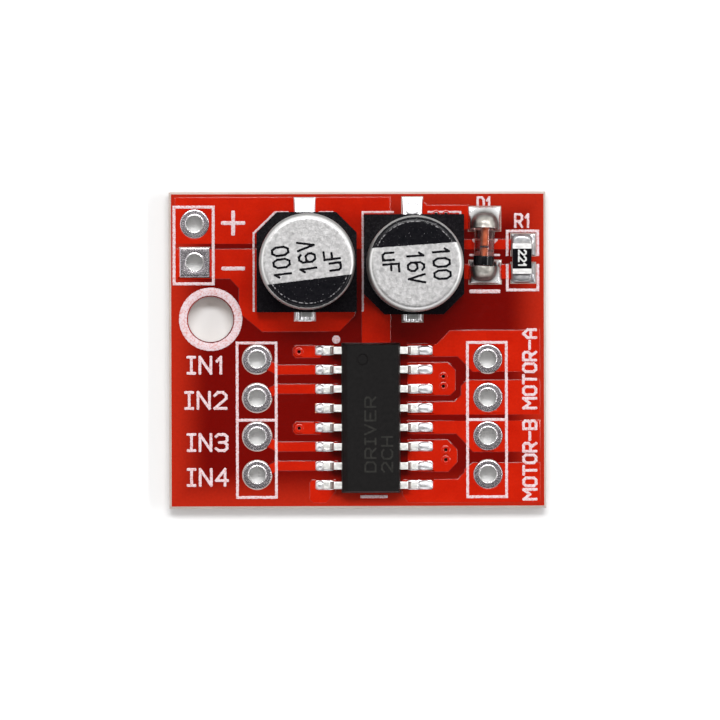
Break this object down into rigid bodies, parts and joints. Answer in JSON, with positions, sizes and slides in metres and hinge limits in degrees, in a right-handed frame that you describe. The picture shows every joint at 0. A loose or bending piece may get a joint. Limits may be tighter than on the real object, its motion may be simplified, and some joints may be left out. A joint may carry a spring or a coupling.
{
  "type": "motor driver board",
  "caption": "Small red circuit board that drives a pair of DC motors, with plated terminal holes, a mounting hole, a driver chip, can capacitors, a diode and a resistor.",
  "frame": {"origin": "centre of the board's underside", "axes": "+X along the board's long side towards the motor terminals, +Y along the short side towards the capacitors, +Z out of the component side"},
  "size_m": [0.025, 0.0208, 0.007],
  "materials": {
    "laminate": "glass-fibre laminate, rough where it was snapped",
    "copper_foil": "etched copper foil",
    "solder_mask": "glossy red solder mask, darker over bare laminate",
    "legend_ink": "screen-printed white ink",
    "tinned_pad": "tinned copper, levelled and slightly uneven",
    "tinned_hole": "tinned, with a bright rounded lip",
    "capacitor_base": "moulded black plastic",
    "capacitor_can": "drawn aluminium, satin top with a bright rolled edge",
    "seal_rubber": "moulded rubber",
    "winding_paper": "foil and paper winding",
    "tinned_lead": "tin plated",
    "black_ink": "printed black ink",
    "moulding_compound": "black epoxy, fine matte grain",
    "lead_frame_copper": "copper lead frame",
    "silicon": "silicon chip",
    "gold_wire": "bonding wire",
    "grey_mark": "faint laser mark",
    "diode_glass": "clear sealing glass, amber over the copper studs",
    "copper_stud": "copper clad stud with a tinned end cap",
    "ceramic": "fired alumina",
    "resistor_film": "printed resistive film",
    "black_glaze": "black protective glaze",
    "white_mark": "printed value code",
    "solder": "reflowed solder, bright with a soft ripple"
  },
  "bodies": {
    "root": {"board_core": "laminate", "copper_top": "copper_foil", "copper_bottom": "copper_foil", "vias": "copper_foil", "solder_mask_top": "solder_mask", "solder_mask_bottom": "solder_mask", "legend_top": "legend_ink", "smd_pads": "tinned_pad", "barrel_in1": "tinned_hole", "barrel_in2": "tinned_hole", "barrel_in3": "tinned_hole", "barrel_in4": "tinned_hole", "barrel_motor_a1": "tinned_hole", "barrel_motor_a2": "tinned_hole", "barrel_motor_b1": "tinned_hole", "barrel_motor_b2": "tinned_hole", "barrel_supply_plus": "tinned_hole", "barrel_supply_minus": "tinned_hole", "capacitor_1_base": "capacitor_base", "capacitor_1_can": "capacitor_can", "capacitor_1_seal": "seal_rubber", "capacitor_1_winding": "winding_paper", "capacitor_1_lead_plus": "tinned_lead", "capacitor_1_lead_minus": "tinned_lead", "capacitor_1_print": "black_ink", "capacitor_2_base": "capacitor_base", "capacitor_2_can": "capacitor_can", "capacitor_2_seal": "seal_rubber", "capacitor_2_winding": "winding_paper", "capacitor_2_lead_plus": "tinned_lead", "capacitor_2_lead_minus": "tinned_lead", "capacitor_2_print": "black_ink", "driver_body": "moulding_compound", "driver_leads_left": "tinned_lead", "driver_leads_right": "tinned_lead", "driver_die_paddle": "lead_frame_copper", "driver_die": "silicon", "driver_bond_wires": "gold_wire", "driver_print": "grey_mark", "diode_glass": "diode_glass", "diode_stud_upper": "copper_stud", "diode_stud_lower": "copper_stud", "diode_die": "silicon", "diode_band": "black_ink", "resistor_ceramic": "ceramic", "resistor_film": "resistor_film", "resistor_glaze": "black_glaze", "resistor_end_upper": "tinned_lead", "resistor_end_lower": "tinned_lead", "resistor_print": "white_mark", "solder_capacitor_1": "solder", "solder_capacitor_2": "solder", "solder_driver_left": "solder", "solder_driver_right": "solder", "solder_diode": "solder", "solder_resistor": "solder"}
  },
  "joints": []
}
